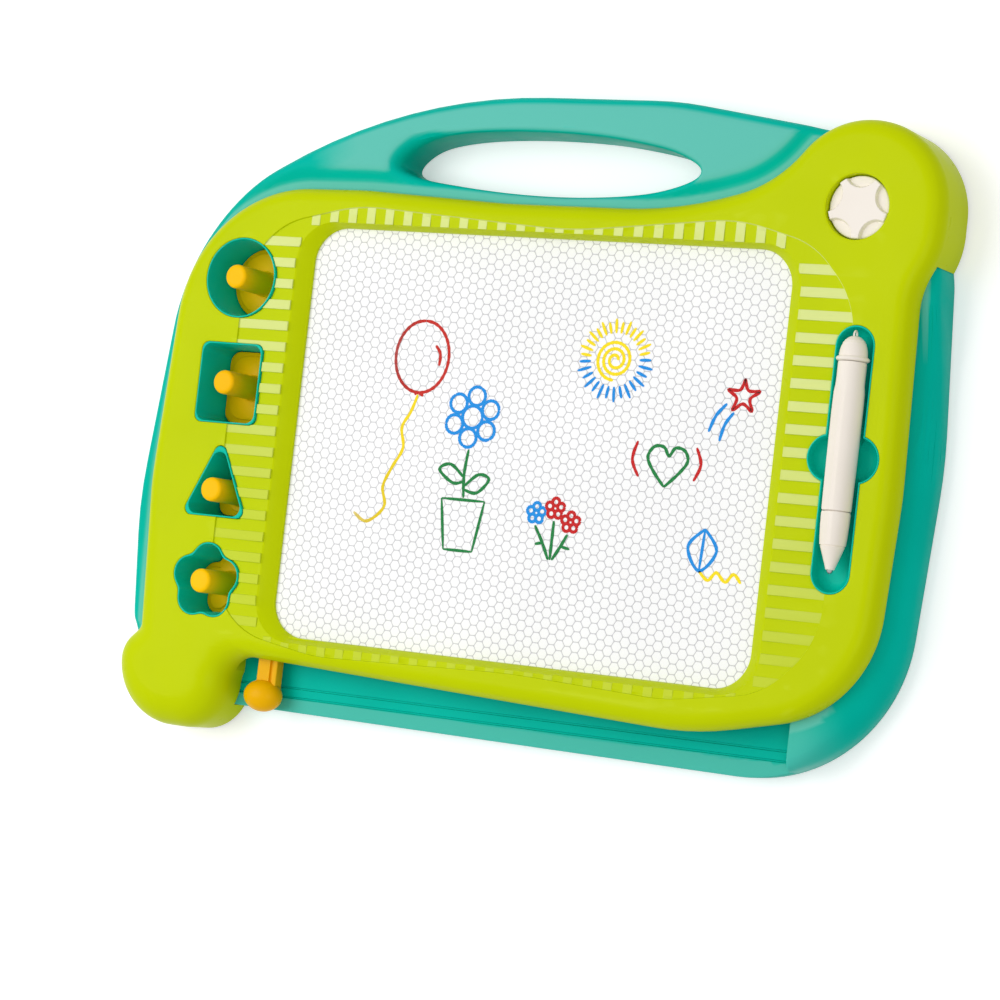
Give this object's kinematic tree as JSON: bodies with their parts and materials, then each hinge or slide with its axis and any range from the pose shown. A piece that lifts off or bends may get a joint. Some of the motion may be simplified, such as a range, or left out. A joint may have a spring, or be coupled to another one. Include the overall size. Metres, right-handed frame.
{
  "type": "magnetic drawing board",
  "caption": "Magnetic drawing board lying face up, with a sliding eraser, shaped stamps in wells, a pen in a side tray, a corner dial and a handle hole.",
  "frame": {"origin": "middle of the outer box, on the flat back that the board lies on", "axes": "+X to the right of the screen, +Y up the board towards the handle, +Z out of the screen"},
  "size_m": [0.4286, 0.3306, 0.0443],
  "materials": {
    "teal_plastic": "moulded teal plastic, satin gloss",
    "lime_plastic": "moulded lime plastic, satin gloss",
    "yellow_plastic": "moulded yellow plastic, glossy",
    "ivory_plastic": "moulded ivory plastic, satin",
    "grey_plastic": "moulded grey plastic",
    "clear_cover": "clear stiff film",
    "honeycomb_core": "white fluid in thin-walled hexagonal cells",
    "backing_film": "white film",
    "ferrite": "dark ferrite",
    "steel": "zinc-plated steel"
  },
  "bodies": {
    "board": {"rear_shell": "teal_plastic", "front_frame": "lime_plastic", "circle_well": "teal_plastic", "square_well": "teal_plastic", "triangle_well": "teal_plastic", "flower_well": "teal_plastic", "pen_tray": "teal_plastic", "backing_film": "backing_film", "honeycomb_core": "honeycomb_core", "clear_cover": "clear_cover", "shell_screw_1": "steel", "shell_screw_2": "steel", "shell_screw_3": "steel", "shell_screw_4": "steel", "shell_screw_5": "steel", "shell_screw_6": "steel", "shell_screw_7": "steel", "shell_screw_8": "steel"},
    "circle_stamp_group": {"circle_stamp": "yellow_plastic", "circle_stamp_magnet": "ferrite"},
    "square_stamp_group": {"square_stamp": "yellow_plastic", "square_stamp_magnet": "ferrite"},
    "triangle_stamp_group": {"triangle_stamp": "yellow_plastic", "triangle_stamp_magnet": "ferrite"},
    "flower_stamp_group": {"flower_stamp": "yellow_plastic", "flower_stamp_magnet": "ferrite"},
    "pen": {"pen_barrel": "ivory_plastic", "pen_end_cap": "ivory_plastic", "pen_nose": "ivory_plastic", "pen_tip": "steel", "pen_magnet": "ferrite"},
    "dial": {"dial_knob": "ivory_plastic", "dial_washer": "steel", "dial_screw": "steel"},
    "eraser": {"eraser_bar": "grey_plastic", "eraser_magnet": "ferrite", "slider_knob": "yellow_plastic", "slider_screw": "steel"}
  },
  "joints": [
    {"name": "eraser_slide", "type": "slide", "parent": "board", "child": "eraser", "axis": [1, 0, 0], "range_m": [0, 0.269]},
    {"name": "dial_turn", "type": "hinge", "parent": "board", "child": "dial", "pos_m": [0.17054, 0.11575, 0.0303], "axis": [0, 0, 1], "continuous": true},
    {"name": "circle_stamp_lift", "type": "slide", "parent": "board", "child": "circle_stamp_group", "axis": [0, 0, 1], "range_m": [0, 0.045]},
    {"name": "square_stamp_lift", "type": "slide", "parent": "board", "child": "square_stamp_group", "axis": [0, 0, 1], "range_m": [0, 0.045]},
    {"name": "triangle_stamp_lift", "type": "slide", "parent": "board", "child": "triangle_stamp_group", "axis": [0, 0, 1], "range_m": [0, 0.045]},
    {"name": "flower_stamp_lift", "type": "slide", "parent": "board", "child": "flower_stamp_group", "axis": [0, 0, 1], "range_m": [0, 0.045]},
    {"name": "pen_lift", "type": "slide", "parent": "board", "child": "pen", "axis": [0, 0, 1], "range_m": [0, 0.03]}
  ]
}
